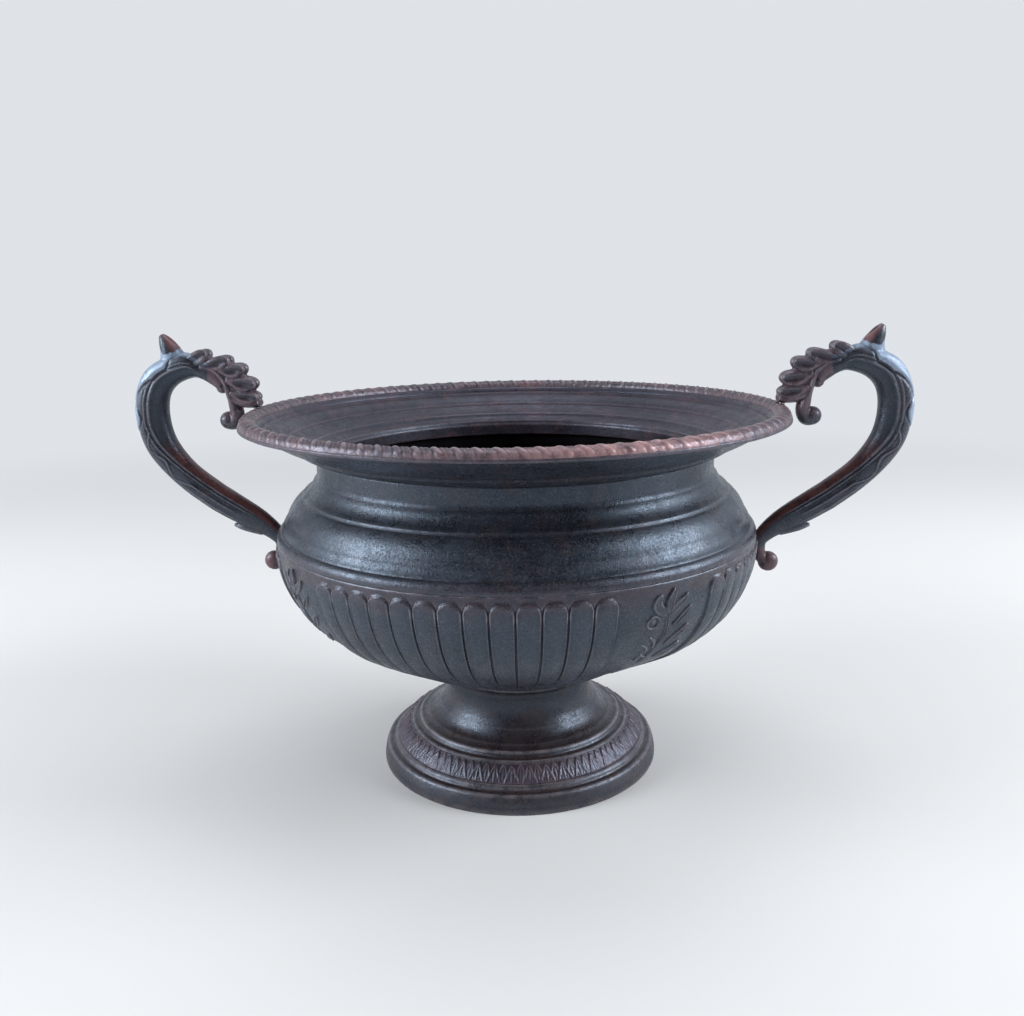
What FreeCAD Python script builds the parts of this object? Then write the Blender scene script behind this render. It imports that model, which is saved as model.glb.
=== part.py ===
import FreeCAD, Part
import math
import os

# Two-handled urn planter on a trumpet foot.
# Millimetres, +Z up, origin at the middle of the foot's underside, handles along X.

os.makedirs("parts", exist_ok=True)
vec = FreeCAD.Vector
up = vec(0, 0, 1)

# ---- Driving sizes ---------------------------------------------------------

fit_gap = 0.2                   # between pieces that slide together
seat_gap = 0.3                  # between a handle and the curved metal it sits on

# foot
foot_radius = 94.2              # at the ground
foot_height = 64.0              # ground to the bowl's seat
foot_wall = 3.0
foot_plate = 4.0                # top plate that the bolt clamps
plinth_height = 11.5            # upright edge
plinth_inset = 2.6              # how far that edge leans in
leaf_band_inset = 9.9           # ground edge to the band's lower edge
leaf_band_run = 9.3             # the band's width, seen from above
leaf_band_rise = 9.1
leaf_band_height = 15.2         # of its lower edge
trumpet_inset = 27.2            # ground edge to where the trumpet leaves its bead
trumpet_base_height = 28.6
foot_neck_radius = 50.3
foot_neck_height = 50.0
foot_lip = 2.3                  # how far the lip under the bowl stands out from the neck

# bowl
bowl_radius = 156.0             # at the seam under the belt
bowl_height = 97.0              # seat to seam
bowl_wall = 3.0
bowl_seat_inset = 1.3           # inside the foot's neck
belly_round = 66.0              # radius of the belly's curve
belly_band = 3.5                # upright band between the belly's curve and the seam
dish_width = 18.0               # low dish between the seat and the belly's straight run
dish_rise = 6.0
lap_depth = 5.0                 # shoulder's lip inside the bowl

# flutes round the bowl, in groups with a plain panel between
flute_groups = 4
flutes_per_group = 13
flute_pitch = 5.1               # degrees
flute_groove = 1.4              # width of the groove between two flutes
flute_relief = 1.3              # how far a flute stands out
flute_low = 14.0                # seat to the flutes' lower ends
flute_drop = 4.0                # seam down to the flutes' crowns
first_panel = 35.6              # degrees from the front to the middle of a panel

# shoulder
belt_height = 5.5
belt_swell = 1.6                # how far the belt stands out
belt_groove = 1.2               # recess above the belt
shoulder_rise = 27.0            # seam to the step
shoulder_inset = 16.4           # seam to the step, inwards
step_height = 2.0
neck_inset = 27.5               # seam to the straight neck, inwards
neck_rise = 41.0                # seam to the straight neck
neck_top = 52.0                 # seam to the rim's seat
shoulder_wall = 3.0

# rim
rim_radius = 175.0              # outer lip
rim_rise = 23.0                 # rim's seat to the top of its flange
rim_wall = 2.6
rope_inset = 0.9                # lip to the rope edge
rope_radius = 5.1               # half its width, over its knobs
rope_relief = 0.8               # how far the knobs stand out
rope_knobs = 104
knob_lean = 18.0                # degrees
upper_bead = 0.885              # places of the beads, as shares of the way from throat to rope
lower_bead = 0.575
bead_size = 1.2
spigot_depth = 10.0             # rim's tube inside the neck
collar_flare = 11.5             # neck to the collar under the rim, outwards
collar_rise = 5.0

# handles
root_drop = 13.0                # seam to the middle of the handle's root
root_radius = 5.8               # of the root's curl
volute_radius = 5.8
volute_width = 12.0
handle_reach = 67.5             # rim lip to the middle of the handle at its widest
handle_crown = 33.4             # top of the flange to the middle of the handle's top
handle_thickness = 21.5         # in the plane of the scroll, at its widest
handle_width = 17.0
thumb_height = 54.5             # top of the flange to the thumb-piece's tip
lobe_length = 8.0               # half length of a leaf lobe
lobe_depth = 5.4                # half depth
lobe_width = 4.8                # half width
screw_radius = 2.0
screw_head_radius = 3.4
screw_head_height = 2.2
screw_bite = 8.0                # length inside the handle
washer_radius = 5.0
washer_thickness = 1.0
rim_screw_inset = 3.6           # rim lip to the axis of the screw under it

# tie bolt through the bowl and the foot
bolt_radius = 5.0
bolt_clearance = 0.3
bolt_head_flats = 16.0
bolt_head_height = 6.4
bolt_tail = 5.0                 # past the nut
nut_height = 8.0
gasket_radius = 15.0
gasket_thickness = 2.0
upper_washer_radius = 12.5
upper_washer_thickness = 2.0
lower_washer_radius = 20.0
lower_washer_thickness = 3.0

# ---- Places that follow ----------------------------------------------------

seat_z = foot_height
seam_z = seat_z + bowl_height
neck_z = seam_z + neck_top
flange_z = neck_z + rim_rise
root_z = seam_z - root_drop
neck_radius = bowl_radius - neck_inset
throat_radius = neck_radius - shoulder_wall - fit_gap - rim_wall
rope_middle = rim_radius - rope_inset - rope_radius


# ---- Small tools -----------------------------------------------------------

def at(radius, height):
    return vec(radius, 0, height)


def line(start, end):
    return Part.LineSegment(start, end).toShape()


def bow(start, end, swell):
    # an arc that stands out to the right of its run, by that share of its length
    run = end - start
    middle = (start + end) * 0.5 + vec(run.z, 0, -run.x) * swell
    return Part.Arc(start, middle, end).toShape()


def revolve(edges):
    face = Part.Face(Part.Wire(edges))
    return face.revolve(vec(0, 0, 0), up, 360)


def loop(points):
    return [line(a, b) for a, b in zip(points, points[1:] + points[:1])]


def shell(edges, wall):
    # a revolved wall of one thickness: on the left of the outline, or on its right if negative
    section = Part.Wire(edges).makeOffset2D(wall, fill=True, openResult=True)
    return section.revolve(vec(0, 0, 0), up, 360)


def ring(inner, outer, low, high):
    tube = Part.makeCylinder(outer, high - low, vec(0, 0, low))
    return tube.cut(Part.makeCylinder(inner, high - low, vec(0, 0, low)))


def bead(radius, height, size):
    return Part.makeTorus(radius, size, vec(0, 0, height), up)


def turned(shape, degrees):
    copy = shape.copy()
    copy.rotate(vec(0, 0, 0), up, degrees)
    return copy


def hexagon(flats, height, low):
    corner = flats / math.sqrt(3)
    angles = [math.radians(60 * k) for k in range(6)]
    points = [vec(corner * math.cos(a), corner * math.sin(a), low) for a in angles]
    return Part.Face(Part.Wire(loop(points))).extrude(vec(0, 0, height))


def save(name, shape):
    clean = shape.removeSplitter()
    solids = clean.Solids
    result = solids[0] if len(solids) == 1 else Part.makeCompound(solids)
    result.exportStep("parts/" + name + ".step")
    print("%-20s solids %2d  volume %10.1f  valid %s" % (name, len(solids), result.Volume, result.isValid()))


# ---- Foot ------------------------------------------------------------------

def make_foot():
    ground = at(foot_radius, 0)
    plinth_top = at(foot_radius - plinth_inset, plinth_height)
    band_low = at(foot_radius - leaf_band_inset, leaf_band_height)
    band_foot = at(band_low.x + plinth_inset, plinth_height + foot_wall / 4)
    band_top = band_low + at(-leaf_band_run, leaf_band_rise)
    trumpet_low = at(foot_radius - trumpet_inset, trumpet_base_height)
    cove_low = band_top + (trumpet_low - band_top) * 0.3
    cove_top = band_top + (trumpet_low - band_top) * 0.7
    neck = at(foot_neck_radius, foot_neck_height)
    lip_top = at(foot_neck_radius + foot_lip, foot_height)
    lip_low = lip_top - at(0, foot_wall / 2)
    outside = [
        bow(ground, plinth_top, 0.05),
        line(plinth_top, band_foot),
        bow(band_foot, band_low, 0.25),
        bow(band_low, band_top, 0.1),
        bow(band_top, cove_low, 0.35),
        bow(cove_low, cove_top, -0.3),
        bow(cove_top, trumpet_low, 0.35),
        bow(trumpet_low, neck, -0.18),
        bow(neck, lip_low, -0.03),
        line(lip_low, lip_top),
    ]
    plate_z = foot_height - foot_plate
    skirt = foot_radius - 2 * foot_wall
    trumpet_inside = trumpet_low - at(foot_wall, foot_wall)
    neck_inside = neck - at(foot_wall, 0)
    plate_edge = at(neck_inside.x, plate_z)
    skirt_top = at(skirt, plinth_height - foot_wall)
    inside = [
        line(lip_top, at(0, foot_height)),
        line(at(0, foot_height), at(0, plate_z)),
        line(at(0, plate_z), plate_edge),
        line(plate_edge, neck_inside),
        bow(neck_inside, trumpet_inside, 0.18),
        line(trumpet_inside, skirt_top),
        line(skirt_top, at(skirt, 0)),
        line(at(skirt, 0), ground),
    ]
    bolt_hole = Part.makeCylinder(bolt_radius + bolt_clearance, foot_height)
    return revolve(outside + inside).cut(bolt_hole)


# ---- Bowl ------------------------------------------------------------------

def belly_middle():
    return at(bowl_radius - belly_round, seam_z - belly_band)


def bowl_outline(swell=0.0):
    # from the axis out to the seam; swell moves the whole line outwards
    seat_edge = at(foot_neck_radius - bowl_seat_inset, seat_z)
    dish_edge = seat_edge + at(dish_width, dish_rise)
    middle = belly_middle()
    # the straight run leaves the dish's edge and touches the belly's curve
    toward = middle - dish_edge
    slope = math.atan2(toward.z, toward.x) - math.asin(belly_round / toward.Length)
    low = at(math.sin(slope), -math.cos(slope))
    mid = at(math.sin(slope / 2 + math.pi / 4), -math.cos(slope / 2 + math.pi / 4))
    size = belly_round + swell
    seat_edge = seat_edge - at(0, swell)
    dish_edge = dish_edge + low * swell
    belly_low = middle + low * size
    belly_top = middle + at(size, 0)
    return [
        line(at(0, seat_edge.z), seat_edge),
        bow(seat_edge, dish_edge, 0.05),
        line(dish_edge, belly_low),
        Part.Arc(belly_low, middle + mid * size, belly_top).toShape(),
        line(belly_top, at(bowl_radius + swell, seam_z)),
    ]


def flute_angles():
    group_step = 360 / flute_groups
    middle = first_panel + group_step / 2
    for group in range(flute_groups):
        for k in range(flutes_per_group):
            yield middle + group * group_step + (k - (flutes_per_group - 1) / 2) * flute_pitch


def flute_tool():
    # a wedge with a round crown, on the +X side, that trims one flute from a ring of metal
    reach = bowl_radius * 1.1
    half = math.radians(flute_pitch / 2)
    low = seat_z + flute_low
    crown_radius = bowl_radius * math.tan(half) - flute_groove / 2
    crown_z = seam_z - flute_drop - crown_radius
    near = flute_groove / 2 / math.sin(half)
    corners = [vec(near, 0, low), vec(reach, -(reach - near) * math.tan(half), low),
               vec(reach, (reach - near) * math.tan(half), low)]
    wedge = Part.Face(Part.Wire(loop(corners))).extrude(vec(0, 0, bowl_height))
    crown = Part.makeCylinder(crown_radius, reach, vec(0, 0, crown_z), vec(1, 0, 0))
    body = Part.makeBox(reach, 2 * crown_radius, crown_z - low, vec(0, -crown_radius, low))
    return wedge.common(crown.fuse(body))


def make_flutes():
    band = shell(bowl_outline(flute_relief), flute_relief + 0.6)
    flute = band.common(flute_tool())
    # the front is at -Y, so angle 0 from the front is -90 degrees from +X
    return [turned(flute, angle - 90) for angle in flute_angles()]


def root_axis():
    # the root screws stand square to the belly's curve: its middle, and the way out
    middle = belly_middle()
    lean = math.asin((middle.z - root_z) / belly_round)
    return middle, at(math.cos(lean), -math.sin(lean))


def root_cylinder(radius, start, end):
    # about the axis of the right root screw, start and end measured from the curve's middle
    middle, out = root_axis()
    return Part.makeCylinder(radius, end - start, middle + out * start, out)


def make_bowl():
    body = shell(bowl_outline(), bowl_wall)
    body = body.fuse(make_flutes())
    lap = ring(bowl_radius - bowl_wall - 1, bowl_radius - bowl_wall / 2, seam_z - lap_depth, seam_z + 1)
    hole = root_cylinder(screw_radius + fit_gap, belly_round - 2 * bowl_wall, belly_round + bowl_wall)
    bolt_hole = Part.makeCylinder(bolt_radius + bolt_clearance, seam_z)
    return body.cut([lap, bolt_hole, hole, turned(hole, 180)])


# ---- Shoulder --------------------------------------------------------------

def make_shoulder():
    seam = at(bowl_radius, seam_z)
    belt_top = seam + at(-belt_groove, belt_height)
    groove = belt_top + at(-shoulder_wall, belt_groove)
    step_low = seam + at(-shoulder_inset, shoulder_rise)
    step_top = step_low + at(-step_height / 2, step_height)
    cove_top = at(neck_radius, seam_z + neck_rise)
    neck_end = at(neck_radius, neck_z)
    wall = at(shoulder_wall, 0)
    edges = [
        bow(seam, belt_top, 0.4 * belt_swell / belt_height),
        line(belt_top, groove),
        bow(groove, step_low, 0.06),
        line(step_low, step_top),
        bow(step_top, cove_top, -0.09),
        line(cove_top, neck_end),
        line(neck_end, neck_end - wall),
        line(neck_end - wall, cove_top - wall),
        bow(cove_top - wall, step_low - wall, 0.08),
        bow(step_low - wall, groove - wall, -0.06),
        line(groove - wall, seam - at(bowl_wall, 0)),
        line(seam - at(bowl_wall, 0), seam),
    ]
    lip_radius = bowl_radius - bowl_wall / 2 - fit_gap
    lip = ring(bowl_radius - bowl_wall, lip_radius, seam_z - lap_depth + fit_gap, seam_z)
    return revolve(edges).fuse(lip)


# ---- Rim -------------------------------------------------------------------

def make_rim():
    spigot = at(throat_radius, neck_z - spigot_depth)
    throat = at(throat_radius, neck_z + 1)
    flange_in = at(rope_middle - rope_radius, flange_z)
    run = flange_in - throat
    upper = throat + at(run.x * upper_bead, run.z * 0.76)
    lower = throat + at(run.x * lower_bead, run.z * 0.44)
    dish = shell([
        line(spigot, throat),
        bow(throat, lower, -0.12),
        bow(lower, upper, 0.06),
        bow(upper, flange_in, 0.12),
        line(flange_in, at(rim_radius, flange_z)),
    ], -rim_wall)
    collar_edge = at(neck_radius + collar_flare, neck_z + collar_rise)
    collar = revolve(loop([
        at(throat_radius + rim_wall / 2, neck_z),
        at(neck_radius + rim_wall, neck_z),
        collar_edge,
        collar_edge + at(0, rim_wall / 2),
        at(throat_radius + rim_wall, neck_z + rim_wall / 2),
    ]))
    beads = [bead(spot.x, spot.z, bead_size) for spot in (upper, lower)]
    return dish.fuse([collar] + beads).cut(rim_screw_holes(screw_radius + fit_gap))


def rope_band(radius):
    low_in = at(rope_middle - radius, flange_z)
    low_out = at(rope_middle + radius, flange_z)
    crest = at(rope_middle, flange_z + radius)
    return revolve([line(low_in, low_out), Part.Arc(low_out, crest, low_in).toShape()])


def rope_knob():
    # half a hoop over the rope edge, on the +X side, leaning along it
    half = rope_radius / 3
    middle = vec(rope_middle, 0, flange_z)
    hoop = Part.makeTorus(rope_radius - half, half, middle, vec(0, -1, 0), -180, 180, 180)
    hoop.rotate(middle, vec(0, 1, 0), -90)
    hoop.rotate(middle, up, knob_lean)
    return hoop


def rim_screw_holes(radius):
    axis = rim_radius - rim_screw_inset
    low = flange_z - rim_wall * 2
    return [Part.makeCylinder(radius, 4 * rope_radius, vec(side * axis, 0, low)) for side in (-1, 1)]


def make_rope_edge():
    knobs = [turned(rope_knob(), 360 * (k + 0.5) / rope_knobs) for k in range(rope_knobs)]
    rope = rope_band(rope_radius - rope_relief).fuse(knobs)
    return rope.cut(rim_screw_holes(screw_radius + fit_gap))


# ---- Handles ---------------------------------------------------------------

def section(centre, along, thickness, width):
    # closed cross-section: round on the inside of the scroll, a raised line along each side
    # and a flatter plate on its back
    back = vec(along.z, 0, -along.x)
    shape = [(-0.50, 0.0), (-0.37, 0.35), (-0.23, 0.45), (-0.16, 0.50),
             (-0.09, 0.46), (0.10, 0.49), (0.34, 0.44), (0.50, 0.18)]
    half = [(n * thickness, w * width) for n, w in shape]
    other = [(n, -w) for n, w in reversed(half[1:])]
    points = [centre + back * n + vec(0, w, 0) for n, w in half + other]
    curve = Part.BSplineCurve()
    curve.interpolate(Points=points, PeriodicFlag=True)
    return Part.Wire(curve.toShape())


root = at(bowl_radius, root_z)
edge = at(rim_radius, flange_z)
side = at(rim_radius + handle_reach, flange_z - handle_crown * 0.06)


def low_place(across, height):
    # shares of the way from the root to the handle's widest place
    return root + at((side.x - root.x) * across, (side.z - root.z) * height)


def high_place(across, height):
    # shares of the reach and of the crown, from the rim's lip
    return edge + at(handle_reach * across, handle_crown * height)


def handle_stations():
    # middle of the scroll, shares of its thickness and width, from the root round to the rim
    return [
        (low_place(0.064, 0.012), 0.54, 0.60),
        (low_place(0.165, 0.116), 0.71, 0.66),
        (low_place(0.324, 0.235), 0.77, 0.74),
        (low_place(0.578, 0.401), 0.84, 0.84),
        (low_place(0.792, 0.576), 0.86, 0.92),
        (low_place(0.947, 0.785), 0.95, 0.98),
        (side, 1.00, 1.00),
        (high_place(0.965, 0.449), 0.96, 1.00),
        (high_place(0.841, 0.793), 0.95, 0.98),
        (high_place(0.596, 1.000), 0.84, 0.98),
        (high_place(0.389, 0.958), 0.84, 1.00),
        (high_place(0.226, 0.734), 0.86, 1.02),
        (high_place(0.107, 0.434), 0.88, 1.00),
        (high_place(0.041, 0.165), 0.86, 0.90),
    ]


def horn(points, sizes):
    # a tapering curved spike in the plane of the handle
    spine = Part.BSplineCurve()
    spine.interpolate(points)
    wires = []
    for point, (thickness, width) in zip(points, sizes):
        along = spine.tangent(spine.parameter(point))[0]
        wires.append(section(point, along, thickness, width))
    return Part.makeLoft(wires, True)


def curl(middle, radius, width):
    roll = Part.makeCylinder(radius, width, middle - vec(0, width / 2, 0), vec(0, 1, 0))
    return roll.makeFillet(radius * 0.35, roll.Edges[0:1] + roll.Edges[2:3])


def stretched_ball(length, width, depth):
    stretch = FreeCAD.Matrix()
    stretch.scale(length, width, depth)
    return Part.makeSphere(1).transformGeometry(stretch)


def lobe(middle, angle, turn):
    # a leaf lobe of the acanthus, hollowed on its outer face
    leaf = stretched_ball(lobe_length, lobe_width, lobe_depth)
    hollow = stretched_ball(lobe_length * 0.62, lobe_width * 0.5, lobe_depth * 0.45)
    hollow.translate(vec(0, turn * lobe_width * 0.95, -lobe_depth * 0.1))
    leaf = leaf.cut(hollow)
    leaf.rotate(vec(0, 0, 0), vec(0, 1, 0), angle)
    leaf.translate(middle + vec(0, turn * handle_width * 0.27, 0))
    return leaf


def leaf_lobes():
    # middles of the lobes' crests from the thumb-piece to the rim, and how far each one dips
    crests = [(0.44, 1.18, 4), (0.27, 1.08, 22), (0.10, 0.86, 44), (-0.005, 0.56, 64), (-0.045, 0.24, 80)]
    return [lobe(high_place(across, height), -dip, turn) for across, height, dip in crests for turn in (-1, 1)]


def make_handle():
    stations = handle_stations()
    thick = handle_thickness
    wide = handle_width
    arm = horn([station[0] for station in stations], [(t * thick, w * wide) for _, t, w in stations])

    volute = high_place(0.247, -0.12)
    hook = horn([high_place(0.05, 0.22), high_place(0.10, -0.08), volute - at(0, volute_radius * 0.5)],
                [(0.60 * thick, 0.85 * wide), (0.45 * thick, volute_width), (0.30 * thick, volute_width)])
    root_curl = root + at(root_radius, -root_radius) * 2.1
    tail = horn([root + at(root_radius * 1.5, root_radius * 0.4), root + at(root_radius * 1.2, -root_radius),
                 root_curl - at(root_radius * 0.4, 0)],
                [(0.54 * thick, 0.62 * wide), (0.42 * thick, 0.58 * wide), (0.32 * thick, 0.54 * wide)])
    tip = at(rim_radius + handle_reach * 0.85, flange_z + thumb_height)
    thumb = horn([high_place(0.72, 1.02), high_place(0.78, 1.30), tip],
                 [(0.65 * thick, 0.72 * wide), (0.46 * thick, 0.60 * wide), (0.10 * thick, 0.25 * wide)])
    spur = horn([low_place(0.30, 0.19), low_place(0.36, 0.15), low_place(0.42, 0.118)],
                [(0.40 * thick, 0.52 * wide), (0.27 * thick, 0.42 * wide), (0.07 * thick, 0.22 * wide)])
    curls = [curl(volute, volute_radius, volute_width), curl(root_curl, root_radius, 0.6 * wide)]
    body = arm.fuse([hook, tail, thumb, spur] + curls + leaf_lobes())

    body = body.cut([rope_band(rope_radius + seat_gap), rim_room(), bowl_room()])
    body = body.cut(rim_screw_room() + [root_screw_room()])
    return max(body.Solids, key=lambda solid: solid.Volume)


def rim_room():
    # the flange's edge and what lies inside it
    low = flange_z - rim_wall - seat_gap
    return Part.makeCylinder(rim_radius + seat_gap, rim_wall + 2 * seat_gap, vec(0, 0, low))


def bowl_room():
    band = revolve(bowl_outline(flute_relief + seat_gap) + [
        line(at(bowl_radius + flute_relief + seat_gap, seam_z), at(bowl_radius + belt_swell + seat_gap, seam_z)),
        line(at(bowl_radius + belt_swell + seat_gap, seam_z),
             at(bowl_radius + belt_swell + seat_gap, seam_z + belt_height)),
        line(at(bowl_radius + belt_swell + seat_gap, seam_z + belt_height), at(0, seam_z + belt_height)),
        line(at(0, seam_z + belt_height), at(0, seat_z - flute_relief - seat_gap)),
    ])
    return band


def rim_screw_room():
    axis = rim_radius - rim_screw_inset
    depth = rope_radius + screw_bite + fit_gap
    return [Part.makeCylinder(screw_radius, depth, vec(axis, 0, flange_z))]


def root_screw_room():
    return root_cylinder(screw_radius, belly_round, belly_round + flute_relief + screw_bite + fit_gap)


def both_sides(shape):
    return Part.makeCompound([turned(shape, 180), shape])


# ---- Fasteners -------------------------------------------------------------

def make_rim_screw():
    axis = rim_radius - rim_screw_inset
    head_z = flange_z - rim_wall
    head = Part.makeCylinder(screw_head_radius, screw_head_height, vec(axis, 0, head_z - screw_head_height))
    shank = Part.makeCylinder(screw_radius - 0.05, rim_wall + rope_radius + screw_bite, vec(axis, 0, head_z))
    return head.fuse(shank)


wall_face = belly_round - bowl_wall - 0.2     # the flat washer touches the curved wall at its edge


def make_wall_washer():
    disc = root_cylinder(washer_radius, wall_face - washer_thickness, wall_face)
    return disc.cut(root_cylinder(screw_radius + fit_gap, wall_face - 5, wall_face + 5))


def make_wall_screw():
    seat = wall_face - washer_thickness
    head = root_cylinder(screw_head_radius, seat - screw_head_height, seat)
    shank = root_cylinder(screw_radius - 0.05, seat, belly_round + flute_relief + screw_bite)
    return head.fuse(shank)


floor_z = seat_z + bowl_wall
plate_low = foot_height - foot_plate
bolt_hole_radius = bolt_radius + bolt_clearance
washer_top = floor_z + gasket_thickness + upper_washer_thickness
nut_top = plate_low - lower_washer_thickness
bolt_end = nut_top - nut_height - bolt_tail


def make_tie_bolt():
    shank = Part.makeCylinder(bolt_radius, washer_top - bolt_end, vec(0, 0, bolt_end))
    return shank.fuse(hexagon(bolt_head_flats, bolt_head_height, washer_top))


def make_tie_nut():
    bore = Part.makeCylinder(bolt_radius + 0.05, nut_height, vec(0, 0, nut_top - nut_height))
    return hexagon(bolt_head_flats, nut_height, nut_top - nut_height).cut(bore)


# ---- Write the pieces ------------------------------------------------------

handle = make_handle()
save("foot", make_foot())
save("bowl", make_bowl())
save("shoulder", make_shoulder())
save("rim", make_rim())
save("rope_edge", make_rope_edge())
save("handle_right", handle)
save("handle_left", turned(handle, 180))
save("rim_screws", both_sides(make_rim_screw()))
save("wall_screws", both_sides(make_wall_screw()))
save("wall_washers", both_sides(make_wall_washer()))
save("tie_gasket", ring(bolt_hole_radius, gasket_radius, floor_z, floor_z + gasket_thickness))
save("tie_washer_upper", ring(bolt_hole_radius, upper_washer_radius, floor_z + gasket_thickness, washer_top))
save("tie_bolt", make_tie_bolt())
save("tie_washer_lower", ring(bolt_hole_radius, lower_washer_radius, nut_top, plate_low))
save("tie_nut", make_tie_nut())
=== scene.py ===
import bmesh
import bpy
import math
import numpy as np
from mathutils import Matrix, Vector
from mathutils.kdtree import KDTree


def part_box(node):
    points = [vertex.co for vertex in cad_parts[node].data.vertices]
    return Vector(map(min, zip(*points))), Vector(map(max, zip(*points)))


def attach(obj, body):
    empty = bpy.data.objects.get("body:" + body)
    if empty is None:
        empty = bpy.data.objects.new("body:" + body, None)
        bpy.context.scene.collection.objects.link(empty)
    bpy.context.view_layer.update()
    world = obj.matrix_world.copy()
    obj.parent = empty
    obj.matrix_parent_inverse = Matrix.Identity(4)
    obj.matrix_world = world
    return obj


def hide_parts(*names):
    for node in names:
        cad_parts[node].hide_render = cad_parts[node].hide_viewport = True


# Two-handled urn planter in patinated cast metal. Sizes are in millimetres, put into metres by mm.
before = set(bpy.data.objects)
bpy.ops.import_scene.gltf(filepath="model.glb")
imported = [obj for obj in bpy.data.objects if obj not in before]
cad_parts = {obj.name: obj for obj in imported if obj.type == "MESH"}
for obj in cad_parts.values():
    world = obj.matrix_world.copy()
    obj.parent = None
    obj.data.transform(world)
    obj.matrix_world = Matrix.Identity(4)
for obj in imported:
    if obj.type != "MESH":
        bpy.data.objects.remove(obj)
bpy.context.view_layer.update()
mm = 0.001

# heights of the bowl's seat and seam, the neck, and the rope edge, and the rim's radius
seat, seam = (corner.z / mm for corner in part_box("bowl"))
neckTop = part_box("shoulder")[1].z / mm
flange, crest = (corner.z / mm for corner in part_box("rope_edge"))
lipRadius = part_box("rim")[1].x / mm
weldGap = 0.01  # points of a turned wall closer than this become one
shortestEdge = 0.05  # shorter edges don't sharpen the relief
print("frame read, seam at", round(seam, 1))


# small tools

def clamp(value, low=0.0, high=1.0):
    return max(low, min(high, value))


def ease(value, low, high):
    t = clamp((value - low) / (high - low))
    return t * t * (3 - 2 * t)


def hump(value, middle, half):
    return ease(half - abs(value - middle), 0, half)


def through(points, t):
    # a smooth curve through the points, t from 0 to 1
    last = len(points) - 1
    place = clamp(t, 0, 1) * last
    k = min(int(place), last - 1)
    f = place - k
    a, b, c, d = (points[min(max(k + j, 0), last)] for j in (-1, 0, 1, 2))
    curve = (2 * b) + (c - a) * f + (2 * a - 5 * b + 4 * c - d) * f * f + (3 * b - a - 3 * c + d) * f ** 3
    return 0.5 * curve


def inPlane(x, z):
    return Vector((x, 0, z))


def wayAlong(points, t, step):
    return through(points, min(1, t + step)) - through(points, max(0, t - step))


def traceOutline(outline, step):
    # outline holds (radius, height, swell): the run up to each point swells to its right by that much
    places = [inPlane(radius, height) for radius, height, _ in outline]
    points = [places[0]]
    for start, end, (_, _, swell) in zip(places, places[1:], outline[1:]):
        run = (end - start).length
        side = inPlane(end.z - start.z, start.x - end.x) / run
        count = max(1, round(run / step))
        for k in range(1, count + 1):
            t = k / count
            points.append(start.lerp(end, t) + side * swell * 4 * t * (1 - t))
    return points


def sideNormals(points):
    # the way out of an outline, square to it at each point
    normals = []
    for k in range(len(points)):
        along = points[min(k + 1, len(points) - 1)] - points[max(k - 1, 0)]
        normals.append(inPlane(along.z, -along.x).normalized())
    return normals


def innerWall(points, wall, skip):
    # the other face of a wall, back along the outline with fewer points
    normals = sideNormals(points)
    chosen = list(range(len(points) - 1, -1, -skip))
    if chosen[-1] != 0:
        chosen.append(0)
    return [points[k] - normals[k] * wall for k in chosen]


def spinWall(name, outside, inside, columnAngles, relief=None):
    # turns a closed section round the axis; relief(k, column) lifts point k of the outside by so many mm
    mesh = bmesh.new()
    row = mesh.verts.layers.int.new("row")
    section = outside + inside
    verts = []
    for k, point in enumerate(section):
        vert = mesh.verts.new(point * mm)
        vert[row] = k
        verts.append(vert)
    edges = [mesh.edges.new(pair) for pair in zip(verts, verts[1:] + verts[:1])]
    columns = len(columnAngles)
    bmesh.ops.spin(mesh, geom=verts + edges, axis=(0, 0, 1), cent=(0, 0, 0),
                   angle=math.tau, steps=columns, use_merge=True)
    bmesh.ops.remove_doubles(mesh, verts=mesh.verts, dist=weldGap * mm)
    normals = sideNormals(outside)
    for vert in mesh.verts:
        k = vert[row]
        column = round(math.atan2(vert.co.y, vert.co.x) / math.tau * columns) % columns
        point = section[k]
        if relief and k < len(outside):
            point = point + normals[k] * relief(k, column)
        angle = columnAngles[column]
        vert.co = Vector((math.cos(angle) * point.x, math.sin(angle) * point.x, point.z)) * mm
    # faces of the inside take the second material; on the bowl and shoulder that is the near-black painted
    # shade
    for face in mesh.faces:
        face.material_index = int(min(vert[row] for vert in face.verts) >= len(outside))
    bmesh.ops.recalc_face_normals(mesh, faces=mesh.faces)
    return finishMesh(name, mesh)


def evenAngles(count):
    return [math.tau * k / count for k in range(count)]


def circle(count):
    return [(math.cos(angle), math.sin(angle)) for angle in evenAngles(count)]


def addObject(name, data):
    added = bpy.data.objects.new(name, data)
    bpy.context.scene.collection.objects.link(added)
    return added


def finishMesh(name, mesh):
    data = bpy.data.meshes.new(name)
    mesh.to_mesh(data)
    mesh.free()
    data.polygons.foreach_set("use_smooth", [True] * len(data.polygons))
    return addObject(name, data)


def storeLayer(data, name, values):
    attribute = data.attributes.new(name, "FLOAT", "POINT")
    attribute.data.foreach_set("value", values)


def readRows(items, what, width, kind):
    values = np.empty(len(items) * width, kind)
    items.foreach_get(what, values)
    return values.reshape(-1, width)


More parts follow.
